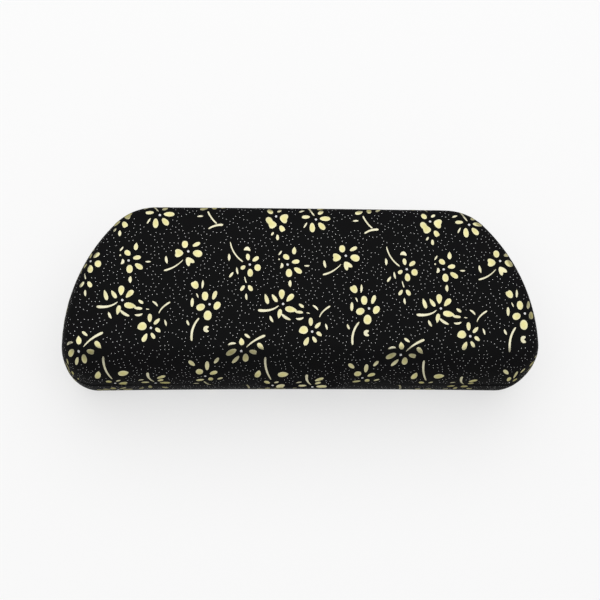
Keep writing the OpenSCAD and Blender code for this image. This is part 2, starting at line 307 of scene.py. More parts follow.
def half_cover(lid):
    """The cloth over one half as a closed skin: out over the flat face and down the rolled wall, round the
    rim in a soft fold, up inside as the turn-in, and back behind itself to the middle. At the hinge the
    wall stops clear of the barrel with a raw edge and has no turn-in."""
    rim, turn, cut = rim_stations(HINGE_LEN / 2 + NOTCH_ROOM)
    inner = inner_line(lid, rim, turn)
    zero = np.zeros(len(turn))
    rise = np.where(cut, NOTCH - RIM_GAP / 2, 0)
    fold_d = np.where(cut, CLOTH_T / 2, FOLD_IN / 2)
    fold_h = np.where(cut, CLOTH_T / 2, FOLD_H)
    last = angle_at_height(lid, rim, turn, rise + fold_h, zero)
    stop = share_at_angle(lid, turn, last)
    length = roll_length(lid, turn)
    rows = face_rows(lid, inner, 0, np.linspace(0, 1, COVER_ROWS["face"]))
    maps = [row[:, :2] for row in rows]

    def add_row(angle, depth, cloth_run):
        """One more row of the wall, at its cloth length past the flat face."""
        rows.append(roll_point(lid, rim, turn, angle, depth))
        maps.append(inner + outward(turn) * cloth_run[:, None])

    def add_row_at(depth, height, beyond):
        """One more row by its depth and its height over the rim, that far beyond the wall's end."""
        add_row(angle_at_height(lid, rim, turn, height, depth), depth, stop * length + beyond)

    for share in np.linspace(0, 1, COVER_ROWS["wall"])[1:]:
        angle = roll_angle(lid, turn, share * stop) if share < 1 else last
        add_row(angle, zero, share * stop * length)
    for swing in np.linspace(0, np.pi, COVER_ROWS["fold"])[1:]:
        add_row_at(fold_d * (1 - np.cos(swing)), rise + fold_h * (1 - np.sin(swing)), swing)
    raw_edge = rise + fold_h
    run_at_edge = FOLD_RUN + EDGE_RUN + TURN_IN
    for height in np.linspace(FOLD_H, TURN_IN, COVER_ROWS["turn_in"])[1:]:
        add_row_at(np.where(cut, CLOTH_T, FOLD_IN), np.where(cut, raw_edge, height), FOLD_RUN + height)
    for depth, height in ((FOLD_OUT, TURN_IN), (FOLD_OUT, CLOTH_T), (CLOTH_T, CLOTH_T)):
        add_row_at(np.where(cut, CLOTH_T, depth), np.where(cut, raw_edge, height), run_at_edge)
    back = angle_at_height(lid, rim, turn, np.where(cut, raw_edge, CLOTH_T), zero + CLOTH_T)
    for share in np.linspace(1, 0, COVER_ROWS["back"])[1:]:
        add_row(back * share, zero + CLOTH_T, length * share)
    under = face_rows(lid, inner, CLOTH_T, np.linspace(1, 0, COVER_ROWS["under"])[1:])
    return skin_from_rows(rows + under, maps + [row[:, :2] for row in under])


def half_lining(lid):
    """The flocked tray inside one half as a closed skin: from the middle of the seen side out to the wall,
    to a rounded edge near the rim, and back behind. The wall's rows lie by a power of their share, a little
    closer near the flat face. A window at the hinge leaves the leaf free."""
    rim, turn, cut = rim_stations(HINGE_LEN / 2 + WINDOW_ROOM)
    inner = inner_line(lid, rim, turn)
    zero = np.zeros(len(turn))
    half_t = (LINING_IN - LINING_OUT) / 2
    low = np.where(cut, LEAF_H + WINDOW_ROOM - RIM_GAP / 2, LINING_STOP)
    rows = face_rows(lid, inner, LINING_IN, np.linspace(0, 1, LINING_ROWS["face"]))
    last = angle_at_height(lid, rim, turn, low + half_t, zero + LINING_IN)
    rows += [roll_point(lid, rim, turn, last * share**ROW_POWER, zero + LINING_IN)
             for share in np.linspace(0, 1, LINING_ROWS["wall"])[1:]]
    for swing in np.linspace(0, np.pi, LINING_ROWS["edge"])[1:]:
        depth = LINING_IN - half_t * (1 - np.cos(swing)) + zero
        height = low + half_t * (1 - np.sin(swing))
        rows.append(roll_point(lid, rim, turn, angle_at_height(lid, rim, turn, height, depth), depth))
    back = angle_at_height(lid, rim, turn, low + half_t, zero + LINING_OUT)
    rows += [roll_point(lid, rim, turn, back * share, zero + LINING_OUT)
             for share in np.linspace(1, 0, LINING_ROWS["back"])[1:]]
    rows += face_rows(lid, inner, LINING_OUT, np.linspace(1, 0, LINING_ROWS["under"])[1:])
    return skin_from_rows(rows, [row[:, :2] for row in rows])


# Print on the cloth, in millimetres

# The two steps of one repeat, where it starts on the base, and how many repeats are tried each way
REPEAT = np.array([[52.3, -1.2], [1.0, 64.3]])
BASE_PRINT_SHIFT = np.array([-21.7, -10.0])
REPEATS_ACROSS, REPEATS_ALONG = range(-3, 4), range(-2, 3)
# Points round a petal and steps along a stem, and the soft edge that listed sizes hold, stems half of it
PETAL_POINTS, STEM_STEPS, PRINT_BLUR = 16, 13, 0.25
# Spread of a petal's notch and waist and how far a bend sets its middle back, as shares of the petal, and
# slack in telling which way a petal points
NOTCH_SPAN, WAIST_SPAN, BEND_LEVEL, TURN_SLACK = 0.42, 0.45, 0.4, 0.01
# A stem's tip as a share of its width
STEM_TIP = 0.5
# Inked patches: the inner ring's share of the outline, then the heights of rim, ring and middle
PETAL_INK = (0.6, 0.03, 0.05, 0.055)
HEART_INK = (0.6, 0.02, 0.04, 0.045)
PIN_INK = (0.7, 0.012, 0.02, 0.022)
# Heights of a stem's edge and middle, and how deep all ink is rooted in the cloth
STEM_INK, INK_ROOT = (0.025, 0.045), 0.1
# Width and number of sides of a flower's heart and of a pin dot
HEART_DOT, PIN_DOT = (0.8, 12), (0.245, 6)
# Pin dots: least gap, widest gap in a chain, the way within which there may be so many others, and gap to
# the corners of petals and stems
PIN_ROOM, PIN_REACH, PIN_CROWD, PIN_CLEAR = 1.15, 1.5, (2.3, 3), 1.3
# Chance for the pin dots: its seed, the rounds and the tries in each
PIN_SEED, PIN_ROUNDS, PIN_TRIES = 11, 60, 400
# Streams of pin dots: the waves' number across and along a repeat, how much each is bent slowly and
# quickly, the quick bends' number and lag, and the level under which a stream lies
STREAM_WAVES, STREAM_BENDS = (7, 9), ((2.6, 1.6), (2.4, 1.5))
QUICK_BENDS, QUICK_LAG, STREAM_LEVEL = 3, (1, np.pi / 2), 0.8
# Petals this narrow and this wide have no and full warmth, which grows from rim to middle
WARM_WIDTHS = (0.6, 1.7)
WARM_LAYERS = (0.3, 0.3, 0.8, 1.0)
# How far short of the rim and of the hinge's notch the print stops, how far beside the hinge the notch
# counts, and the rim turn in radians past which a place is on the straight back
PRINT_STOP, NOTCH_STOP, NOTCH_SIDE, STRAIGHT_BACK = 1.0, 0.7, 1.4, 1.57
# A patch is left out if its middle is nearer than this to the end of the print
EDGE_MARGIN = 0.25
# The front corners' pull: its size, its growth for each millimetre in front of a line, the place outside
# and in front of which it is full, and the widths of its fading
PULL, PULL_GROWTH, PULL_FROM = 1.9, 0.09, -24.0
PULL_FULL, PULL_FADE = (CASE_W / 2 - 5.0, -27.0), (9.0, 6.0)

# What makes each kind of petal depart from an ellipse
PETAL_WORDS = ("egg", "point", "lens", "bend", "flat", "notch", "waist")
PETAL_KINDS = {
    "oval": dict(egg=0.12),
    "round": dict(egg=0.05, lens=-0.1),
    "shell": dict(egg=-0.16, point=0.55, lens=-0.12),
    "seed": dict(egg=-0.3, point=0.7),
    "pointed": dict(egg=-0.3, point=1.2),
    "leaf": dict(point=0.2, lens=0.45, bend=0.12),
    "moon": dict(lens=0.1, bend=0.12, flat=0.6),
    "bowl": dict(bend=0.2, flat=-0.6),
    "shard": dict(lens=0.1, bend=-0.12, flat=0.6),
    "kidney": dict(bend=0.3, flat=0.25),
    "heart": dict(egg=0.28, notch=0.36),
    "cleft": dict(egg=0.3, notch=0.75),
    "dented": dict(egg=0.15, lens=-0.1, notch=0.25),
    "drop": dict(egg=0.35, lens=0.1),
    "bitten": dict(lens=-0.15, notch=-0.95),
    "waisted": dict(egg=0.25, lens=-0.2, waist=0.4),
}

# Each flower or sprig: its place on the cloth, how much it is drawn out across and along, whether it has a
# centre dot, its petals and leaves as (right, up, length, width, turn, kind), and its stems as
# (start, middle, end, first width, last width), in millimetres and degrees
SPRIGS = [
    dict(place=(-5.5, 6.8), draw=(1.0, 1.03), dot=True, petals=[
        (-0.4, 2.6, 2.5, 2.0, -40, "oval"), (2.7, 1.0, 2.8, 1.7, 10, "oval"),
        (3.4, -2.0, 3.2, 1.9, -35, "oval"), (0.4, -2.9, 3.0, 2.3, 90, "round"),
        (-2.1, -0.4, 2.1, 1.6, 75, "shard"), (-2.8, 1.8, 0.8, 0.8, 0, "round"),
        (-2.4, 4.0, 2.2, 0.8, 55, "leaf"), (2.3, 4.9, 2.9, 1.6, 85, "pointed"),
        (6.4, -0.4, 2.1, 0.8, 0, "leaf"), (0.7, -6.5, 2.6, 1.3, 90, "leaf")], stems=[]),
    dict(place=(14.0, 10.1), draw=(1.02, 1.05), dot=True, petals=[
        (-1.1, 2.4, 2.7, 2.2, 90, "round"), (2.6, 2.4, 2.9, 1.5, 28, "oval"),
        (3.0, -0.7, 3.3, 2.6, -15, "oval"), (0.5, -3.5, 3.6, 2.8, -56, "cleft"),
        (-3.1, -0.6, 3.2, 2.9, 180, "heart"), (-7.0, -2.9, 2.9, 1.1, 100, "leaf")],
        stems=[((-1.7, -2.9), (-4.4, -5.2), (-7.7, -6.5), 0.35, 0.75)]),
    dict(place=(-7.2, -6.9), draw=(1.0, 0.99), dot=True, petals=[
        (-0.4, 3.3, 3.6, 2.1, 88, "drop"), (2.3, 2.1, 3.6, 1.9, 48, "drop"),
        (-2.8, 2.0, 3.4, 1.5, 122, "seed"), (-5.4, 1.7, 3.9, 1.5, 105, "seed"),
        (2.6, -1.9, 4.2, 2.2, -10, "seed"), (5.2, -2.8, 2.9, 1.2, -5, "oval"),
        (6.0, -0.6, 2.2, 1.2, -38, "oval"), (8.2, -3.1, 1.4, 0.6, -10, "leaf"),
        (-1.2, -3.4, 3.5, 1.6, 78, "seed"), (0.8, -4.6, 3.9, 1.3, -34, "kidney"),
        (-3.9, -5.2, 2.7, 1.1, 115, "leaf"), (5.4, -4.9, 2.8, 1.3, 8, "bowl")],
        stems=[((-1.5, -0.6), (-4.3, -2.1), (-8.2, -2.2), 0.4, 1.15)]),
    dict(place=(2.2, -16.2), draw=(1.0, 0.97), dot=True, petals=[
        (-2.9, 0.5, 3.3, 2.9, 205, "shell"), (-0.4, 3.4, 3.1, 1.6, 90, "oval"),
        (1.9, 2.2, 2.9, 1.4, 48, "shell"), (2.3, -0.8, 2.3, 1.5, -40, "shell"),
        (0.7, -2.7, 2.5, 1.4, -60, "oval"), (-1.9, -3.3, 3.3, 1.7, 65, "drop"),
        (4.7, 1.7, 2.5, 0.9, 105, "leaf"), (1.3, 8.4, 2.7, 1.0, -45, "kidney")],
        stems=[((2.5, 5.0), (3.7, 7.0), (6.1, 8.9), 0.4, 0.75)]),
    dict(place=(21.1, -8.3), draw=(1.0, 0.99), dot=True, petals=[
        (-1.5, 2.8, 3.3, 2.3, 90, "round"), (1.6, 3.1, 3.4, 1.6, 70, "oval"),
        (2.4, -0.5, 3.2, 2.3, 60, "oval"), (-0.6, -3.8, 3.5, 2.8, 85, "round"),
        (-2.9, -1.0, 3.1, 2.5, 25, "round"), (-4.8, 6.7, 3.2, 2.5, 118, "dented"),
        (-2.3, 6.9, 3.2, 1.0, 85, "leaf"), (-4.0, 3.0, 2.0, 0.7, 112, "leaf"),
        (-5.5, 0.6, 3.3, 1.7, 87, "moon"), (-7.0, -6.3, 2.2, 1.0, 112, "leaf"),
        (-0.9, -8.4, 2.4, 2.4, 0, "bitten")],
        stems=[((-3.4, -4.7), (-5.4, -8.3), (-5.7, -12.3), 0.7, 0.85)]),
    dict(place=(-20.9, -22.6), draw=(0.98, 1.0), dot=True, petals=[
        (-3.3, -0.4, 4.0, 2.0, 28, "oval"), (-1.8, -3.1, 3.8, 1.5, 52, "oval"),
        (1.5, -2.4, 3.3, 2.2, 90, "oval"), (4.0, -0.3, 3.0, 1.7, -15, "dented"),
        (6.4, 1.5, 3.1, 1.7, -45, "seed"), (2.0, 4.9, 2.4, 1.1, -35, "oval"),
        (0.1, 3.1, 2.7, 1.9, 98, "pointed"), (-3.1, 2.4, 2.9, 1.1, 10, "kidney")],
        stems=[((1.7, 1.2), (4.4, 3.4), (7.9, 5.1), 0.4, 1.0)]),
    dict(place=(19.8, -35.3), draw=(1.0, 1.0), dot=True, petals=[
        (-1.9, 2.7, 3.2, 2.6, 90, "round"), (0.6, 5.7, 4.4, 1.6, 90, "oval"),
        (2.7, 2.1, 3.1, 2.1, 40, "oval"), (-4.4, 6.9, 3.1, 1.7, -50, "oval"),
        (-1.7, -2.8, 3.0, 1.7, 20, "oval"), (1.8, -2.0, 2.5, 1.9, 90, "round"),
        (4.9, -1.6, 2.4, 1.3, 40, "oval"), (3.6, 8.0, 2.9, 1.4, 60, "oval")], stems=[]),
    dict(place=(4.4, 23.4), draw=(1.03, 1.09), dot=True, petals=[
        (-3.3, 0.8, 2.9, 1.4, 3, "oval"), (-3.6, -2.0, 2.4, 1.0, 60, "moon"),
        (-1.3, -2.8, 3.5, 2.0, 90, "oval"), (1.8, -2.3, 3.2, 2.0, -50, "oval"),
        (3.0, 0.3, 3.7, 1.8, 0, "oval"), (1.6, 2.4, 2.3, 1.5, 35, "oval"),
        (-4.6, 2.8, 2.2, 0.9, 20, "leaf"), (1.9, 4.6, 3.4, 1.7, 35, "oval")],
        stems=[((-2.3, 7.3), (-2.0, 4.0), (-0.5, 1.3), 1.1, 0.5)]),
    dict(place=(23.4, 20.1), draw=(1.03, 1.09), dot=False, petals=[
        (-5.4, 2.7, 2.2, 0.85, 5, "leaf")],
        stems=[((-2.9, 4.4), (-1.7, 2.1), (0.0, 0.2), 0.65, 0.6),
               ((-2.7, -1.6), (-0.5, -0.5), (2.0, -0.2), 0.6, 0.9)]),
    dict(place=(-18.0, 6.7), draw=(1.02, 1.03), dot=True, petals=[
        (-0.6, 2.6, 2.5, 1.5, 95, "oval"), (1.9, 1.95, 2.7, 1.6, 38, "oval"),
        (2.5, -1.05, 2.3, 2.5, 0, "round"), (0.1, -2.8, 2.9, 2.0, 90, "oval"),
        (-2.2, -1.0, 2.0, 1.5, 40, "oval"), (-0.85, 5.15, 2.4, 2.1, -7, "bowl"),
        (-6.7, 2.5, 2.7, 1.1, 90, "leaf"), (-4.1, -2.2, 2.7, 0.9, 100, "leaf"),
        (-6.0, -3.5, 2.4, 1.0, 55, "oval"), (-2.4, -8.0, 2.4, 1.3, 55, "oval"),
        (0.1, -8.0, 2.4, 1.6, 120, "oval"), (-1.2, -10.9, 2.4, 1.0, 95, "leaf")],
        stems=[((-6.3, 7.8), (-5.0, 4.0), (-2.3, 1.0), 0.5, 0.6),
               ((-1.7, -4.2), (-1.5, -5.2), (-1.2, -6.2), 0.4, 0.5)]),
    dict(place=(-9.0, 24.4), draw=(1.04, 1.1), dot=True, petals=[
        (-1.8, -2.1, 4.4, 3.2, 125, "waisted"), (2.6, -0.7, 3.1, 3.3, -15, "heart"),
        (1.8, -4.2, 2.6, 1.9, -62, "dented"), (0.3, -7.1, 2.1, 1.2, 90, "oval"),
        (-1.3, -5.9, 1.6, 0.9, 55, "oval"), (-1.9, 1.7, 2.3, 1.8, 140, "round"),
        (1.1, 1.9, 1.8, 1.1, 30, "oval"), (-5.0, 6.5, 4.2, 2.1, 80, "shell"),
        (3.0, 6.4, 3.6, 2.9, 12, "shell")],
        stems=[((-2.9, 13.8), (-2.5, 9.2), (-0.7, 3.5), 0.85, 0.6)]),
]


def column(rows, k):
    """One value of every row, as a column."""
    return np.array([row[k] for row in rows], float)[:, None]


def petal_outlines(rows):
    """Outlines round each petal's middle: an ellipse whose width grows to its outer end (egg), narrows to a
    tip there (point) or at both ends (lens), whose ends bend to one side (bend), whose right side, or with
    a minus its left, is flat (flat), whose outer end, or with a minus its inner, is pushed in (notch), and
    which is drawn in at the middle of both sides (waist). A petal's turn is set to point away from the
    middle of its flower."""
    right, up, long, wide, turn = (column(rows, k) for k in range(5))
    long, wide, turn = long - PRINT_BLUR, wide - PRINT_BLUR, np.radians(turn)
    kinds = [{word: 0.0 for word in PETAL_WORDS} | PETAL_KINDS[row[5]] for row in rows]
    egg, point, lens, bend, flat, notch, waist = (column(kinds, word) for word in PETAL_WORDS)
    inwards = np.cos(turn) * right + np.sin(turn) * up < -TURN_SLACK
    turn = np.where(inwards, turn + np.pi, turn)
    phase = np.arange(PETAL_POINTS) * 2 * np.pi / PETAL_POINTS
    c, s = np.cos(phase)[None, :], np.sin(phase)[None, :]
    along = long / 2 * (c - notch * np.exp(-(s / NOTCH_SPAN)**2) * (c * notch > 0))
    power = 1 + lens + point * (1 + c) / 2
    across = wide / 2 * np.sign(s) * np.abs(s)**power * (1 + egg * c)
    across = across * (1 - waist * np.exp(-(c / WAIST_SPAN)**2))
    across = np.where(s * flat < 0, across * (1 - np.abs(flat)), across) + bend * wide * (c**2 - BEND_LEVEL)
    x = right + along * np.cos(turn) - across * np.sin(turn)
    y = up + along * np.sin(turn) + across * np.cos(turn)
    return np.stack([x, y], -1)


def stem_lines(rows):
    """Left and right edges of each stem: a parabola through its start, middle and end, widening evenly,
    with ends drawn in to a blunt tip."""
    t = np.linspace(0, 1, STEM_STEPS)[None, :, None]
    a, b, c = (column(rows, k) for k in range(3))
    first, last = column(rows, 3), column(rows, 4)
    control = 2 * b - (a + c) / 2
    line = a * (1 - t)**2 + 2 * control * t * (1 - t) + c * t**2
    run = 2 * (control - a) * (1 - t) + 2 * (c - control) * t
    side = np.stack([-run[..., 1], run[..., 0]], -1) / np.linalg.norm(run, axis=-1, keepdims=True)
    t = t[..., 0]
    blunt = np.where((t == 0) | (t == 1), STEM_TIP, 1.0)
    half_w = (first + (last - first) * t - PRINT_BLUR / 2) / 2 * blunt
    return line + side * half_w[..., None], line - side * half_w[..., None]


def print_tile():
    """One repeat of the print on the flat cloth: petal outlines, left and right stem edges, and hearts."""
    outlines, left, right, hearts = [], [], [], []
    for sprig in SPRIGS:
        place, draw = np.array(sprig["place"]), np.array(sprig["draw"])
        outlines.append(place + petal_outlines(sprig["petals"]) * draw)
        if sprig["stems"]:
            one, other = stem_lines(sprig["stems"])
            left.append(place + one * draw)
            right.append(place + other * draw)
        if sprig["dot"]:
            hearts.append(place)
    return np.concatenate(outlines), np.concatenate(left), np.concatenate(right), np.array(hearts)


def gaps_between(places, others):
    """Distances in mm from each place to each of the others, both as shares of the repeat, taking
    the nearest copy of the repeat."""
    step = places[:, None] - others[None]
    step = (step - np.round(step)) @ REPEAT
    return np.hypot(step[..., 0], step[..., 1])


def stream_waves(places):
    """Height of two added waves, one across and one along the repeat. Each is bent by a slow and a quick
    wave of the other direction."""
    along, up = 2 * np.pi * places.T
    ways = zip(STREAM_WAVES, STREAM_BENDS, QUICK_LAG, (along, up), (up, along))
    return sum(np.sin(number * way + slow * np.sin(other) + quick * np.sin(QUICK_BENDS * other + lag))
               for number, (slow, quick), lag, way, other in ways)


def scattered_dots(outlines, left, right):
    """Pin dots of one repeat, drawn by chance with a fixed seed: of the tries that lie in a stream, a try
    stays if it is clear of every dot, of the tries before it, and of every petal and stem, and after
    the first round also if it is close to a dot but not to a crowd, so that chains grow. The streams
    are where the waves are low."""
    chance = np.random.default_rng(PIN_SEED)
    corners = (outlines, outlines.mean(1), left, right)
    marks = np.concatenate([part.reshape(-1, 2) for part in corners]) @ np.linalg.inv(REPEAT)
    dots = np.zeros((0, 2))
    for _ in range(PIN_ROUNDS):
        tries = chance.uniform(-0.5, 0.5, (PIN_TRIES, 2))
        tries = tries[stream_waves(tries) < STREAM_LEVEL]
        gaps = gaps_between(tries, dots)
        chained = (gaps < PIN_REACH).any(1) | (len(dots) == 0)
        loose = (gaps < PIN_CROWD[0]).sum(1) <= PIN_CROWD[1]
        tries = tries[(gaps > PIN_ROOM).all(1) & chained & loose]
        tries = tries[(gaps_between(tries, marks) > PIN_CLEAR).all(1)]
        crowded = np.tril(gaps_between(tries, tries) < PIN_ROOM, -1).any(1)
        dots = np.concatenate([dots, tries[~crowded]])
    return dots @ REPEAT


def unroll(lid, spots):
    """For places on the flat cloth: the rim turn, the length past the flat face and the rim point. The flat
    cloth is cut into a straight front, front corners, sides, back corners and a straight back, each seen
    from the middle of its own arc."""
    across, y = np.abs(spots[..., 0]), spots[..., 1]
    toward = [np.arctan2(y - c[1], across - c[0]) for c in (FRONT_C, SIDE_C, BACK_C)]
    low = y < FRONT_C[1]
    front, corner = low & (across <= FRONT_C[0]), low & (across > FRONT_C[0])
    side = ~low & (toward[1] <= SIDE_TURN) & (across > SIDE_C[0])
    back_corner = ~low & ~side & (across > BACK_C[0])
    zones = [front, corner, side, back_corner]
    back_turn = np.clip(toward[2], SIDE_TURN, np.pi / 2)
    turn = np.select(zones, [-np.pi / 2, toward[0], toward[1], back_turn], np.pi / 2)
    middle_x = np.select(zones, [across, FRONT_C[0], SIDE_C[0], BACK_C[0]], across)
    middle_y = np.select(zones, [FRONT_C[1], FRONT_C[1], SIDE_C[1], BACK_C[1]], BACK_C[1])
    radius = np.select(zones, [FRONT_R, FRONT_R, SIDE_R, BACK_R], BACK_R)
    out = (across - middle_x) * np.cos(turn) + (y - middle_y) * np.sin(turn)
    past = out - (radius - roll_width(lid, turn))
    rim = np.stack([middle_x, middle_y], -1) + radius[..., None] * outward(turn)
    return turn, past, rim


def left_or_right(spots):
    """Minus one on the left half of the case, one on the right."""
    return np.where(spots[..., 0] < 0, -1.0, 1.0)


def edge_room(lid, spots, turn):
    """Length past the flat face that the print may reach: short of the rim, and at the hinge of its notch."""
    at_hinge = (np.abs(spots[..., 0]) < HINGE_LEN / 2 + NOTCH_SIDE) & (turn > STRAIGHT_BACK)
    return roll_length(lid, turn) - np.where(at_hinge, NOTCH + NOTCH_STOP, PRINT_STOP)


def held_on_cloth(lid, spots):
    """Places past the edge moved straight back to it."""
    turn, past, _ = unroll(lid, spots)
    over = np.maximum(0, past - edge_room(lid, spots, turn))
    return spots - np.stack([over * np.cos(turn) * left_or_right(spots), over * np.sin(turn)], -1)


def on_cloth(lid, spots, depth):
    """Flat places wrapped onto the half's outside: the flat face as it is, the rest rolled down the wall."""
    turn, past, rim = unroll(lid, spots)
    angle = roll_angle(lid, turn, past / roll_length(lid, turn))
    wall = roll_point(lid, rim, turn, angle, np.full(turn.shape, depth))
    wall[..., 0] *= left_or_right(spots)
    x, y = spots[..., 0], spots[..., 1]
    flat = np.stack([x, y, lid_face(x, y) - depth if lid else np.full_like(x, depth)], -1)
    return np.where((past > 0)[..., None], wall, flat)


def pulled_at_corners(spots):
    """The cloth is drawn to the front over each front corner: most beyond it, fading off as a bell curve
    towards the middle of the case, and growing with the way down the wall."""
    beside = np.maximum(0, PULL_FULL[0] - np.abs(spots[..., 0])) / PULL_FADE[0]
    behind = np.maximum(0, spots[..., 1] - PULL_FULL[1]) / PULL_FADE[1]
    pull = PULL + PULL_GROWTH * np.maximum(0, PULL_FROM - spots[..., 1])
    pull = pull * np.exp(-(beside**2 + behind**2) / 2)
    return spots - np.stack([np.zeros_like(pull), pull], -1)


def copies_on(lid, groups, middles):
    """Every repeat of a group of outlines whose middle lies on the half's cloth."""
    steps = np.array([(i, j) for i in REPEATS_ACROSS for j in REPEATS_ALONG]) @ REPEAT
    steps = steps + (0 if lid else BASE_PRINT_SHIFT)
    spots = pulled_at_corners(groups[None] + steps[:, None, None]).reshape(-1, *groups.shape[1:])
    centre = pulled_at_corners(middles[None] + steps[:, None]).reshape(-1, 2)
    turn, past, _ = unroll(lid, centre)
    keep = past < edge_room(lid, centre, turn) - EDGE_MARGIN
    return spots[keep], centre[keep]


def wrapped(lid, spots, depth):
    """Print places wrapped on the lid, or on the base seen from below, where left and right change over."""
    if lid:
        return on_cloth(True, spots, depth)
    return on_cloth(False, spots * (-1, 1), depth)


def solid_patches(lid, outlines, middles, ink):
    """Thin closed patches: a rim rooted in the cloth, the rim on it, an inner ring and a raised middle. Gives
    the points, the faces and the warmth of the gold, which grows to the middle of wide patches."""
    inset, rim_h, ring_h, middle_h = ink
    count, around = outlines.shape[:2]
    ring = middles[:, None] + (outlines - middles[:, None]) * inset
    layers = [wrapped(lid, outlines, INK_ROOT), wrapped(lid, outlines, -rim_h),
              wrapped(lid, ring, -ring_h), wrapped(lid, middles[:, None], -middle_h)]
    points = np.concatenate(layers, 1)
    each = points.shape[1]
    i = np.arange(around)
    j = np.roll(i, -1)
    quads = [np.stack([i + k * around, j + k * around, j + (k + 1) * around, i + (k + 1) * around], 1)
             for k in (0, 1)]
    tops = np.stack([i + 2 * around, j + 2 * around, np.full(around, 3 * around)], 1)
    start = np.arange(count)[:, None, None] * each
    faces = [(start + np.concatenate(quads)[None]).reshape(-1, 4), (start + tops[None]).reshape(-1, 3),
             start[:, 0] + i[::-1][None]]
    narrowest = 2 * np.linalg.norm(outlines - middles[:, None], axis=-1).min(1)
    wide = np.clip((narrowest - WARM_WIDTHS[0]) / (WARM_WIDTHS[1] - WARM_WIDTHS[0]), 0, 1)
    by_layer = np.repeat(WARM_LAYERS, (around, around, around, 1))
    return points.reshape(-1, 3), faces, (wide[:, None] * by_layer).ravel()


def stem_strips(lid, left, right):
    """Thin closed strips along the stems: at each step two edges rooted in the cloth, the same two on it,
    and a raised middle."""
    edge_h, middle_h = STEM_INK
    layers = [wrapped(lid, left, INK_ROOT), wrapped(lid, right, INK_ROOT), wrapped(lid, right, -edge_h),
              wrapped(lid, (left + right) / 2, -middle_h), wrapped(lid, left, -edge_h)]
    points = np.stack(layers, 2)
    count, steps, around = points.shape[:3]
    k, i = np.meshgrid(np.arange(steps - 1), np.arange(around), indexing="ij")
    a, b = k * around + i, k * around + (i + 1) % around
    quads = np.stack([a, b, b + around, a + around], -1).reshape(-1, 4)
    start = np.arange(count)[:, None, None] * steps * around
    first = np.arange(around)
    last = (steps - 1) * around + first
    faces = [(start + quads[None]).reshape(-1, 4)[:, ::-1], start[:, 0] + first[None],
             start[:, 0] + last[None, ::-1]]
    points = points.reshape(-1, 3)
    return points, faces, np.zeros(len(points))


def together(*parts):
    """Several sets of points, faces and warmth as one, with each set's point numbers moved on."""
    points, faces, warmth = zip(*parts)
    starts = np.cumsum([0] + [len(some) for some in points])
    moved = [group + start for groups, start in zip(faces, starts) for group in groups]
    return np.concatenate(points), moved, np.concatenate(warmth)


def dot_patches(lid, places, dot, ink):
    """Every repeat of round dots of one width and number of sides, as thin patches."""
    across, sides = dot
    phase = np.arange(sides) * 2 * np.pi / sides
    discs = places[:, None] + across / 2 * outward(phase)[None]
    return solid_patches(lid, *copies_on(lid, discs, places), ink)


def print_on(lid, tile, pins):
    """The half's print: petals and stems as one mesh, and hearts and pin dots as another."""
    outlines, left, right, hearts = tile
    petals, middles = copies_on(lid, outlines, outlines.mean(1))
    edges = np.concatenate([left, right], 1)
    stems, _ = copies_on(lid, edges, edges.mean(1))
    stems = held_on_cloth(lid, stems)
    flowers = together(solid_patches(lid, held_on_cloth(lid, petals), middles, PETAL_INK),
                       stem_strips(lid, stems[:, :STEM_STEPS], stems[:, STEM_STEPS:]))
    dots = together(dot_patches(lid, hearts, HEART_DOT, HEART_INK), dot_patches(lid, pins, PIN_DOT, PIN_INK))
    return flowers, dots


# Finishes

# Detail of the coarse and the fine noise, the range of the coarse one that is spread to the mask, and the
# mask's share of the height
GRAIN_DETAIL, GRAIN_RANGE, COARSE_SHARE = (3.0, 2.0), (0.3, 0.7), 0.35
# Strength of the bump of a grained finish
GRAIN_BUMP = 0.6
# Black cotton: grain scales, scale and waver of the threads, the grain's share of the height, the weave's
# height in metres and the strength of its bump, colours, roughness and shine
COTTON_GRAIN, THREAD_SCALE, THREAD_WAVER = (45.0, 1800.0), 90.0, 0.6
COTTON_GRAIN_SHARE, WEAVE_H, WEAVE_BUMP = 0.5, 0.00003, 0.5
COTTON_DARK, COTTON_LIGHT = (0.0028, 0.0028, 0.0028), (0.0086, 0.0087, 0.0091)
COTTON_ROUGH, COTTON_SHINE = (0.5, 0.64), 0.006
# Tint of the print's metal at a grazing view, and tint of its warm gold
INK_EDGE_TINT, WARM_TINT = (0.25, 0.24, 0.2, 1), (0.97, 0.94, 0.58)


def value_input(tree, name, kind, default=None):
    """One named input of a node group."""
    socket = tree.interface.new_socket(name=name, in_out="INPUT", socket_type=kind)
    if default is not None:
        socket.default_value = default


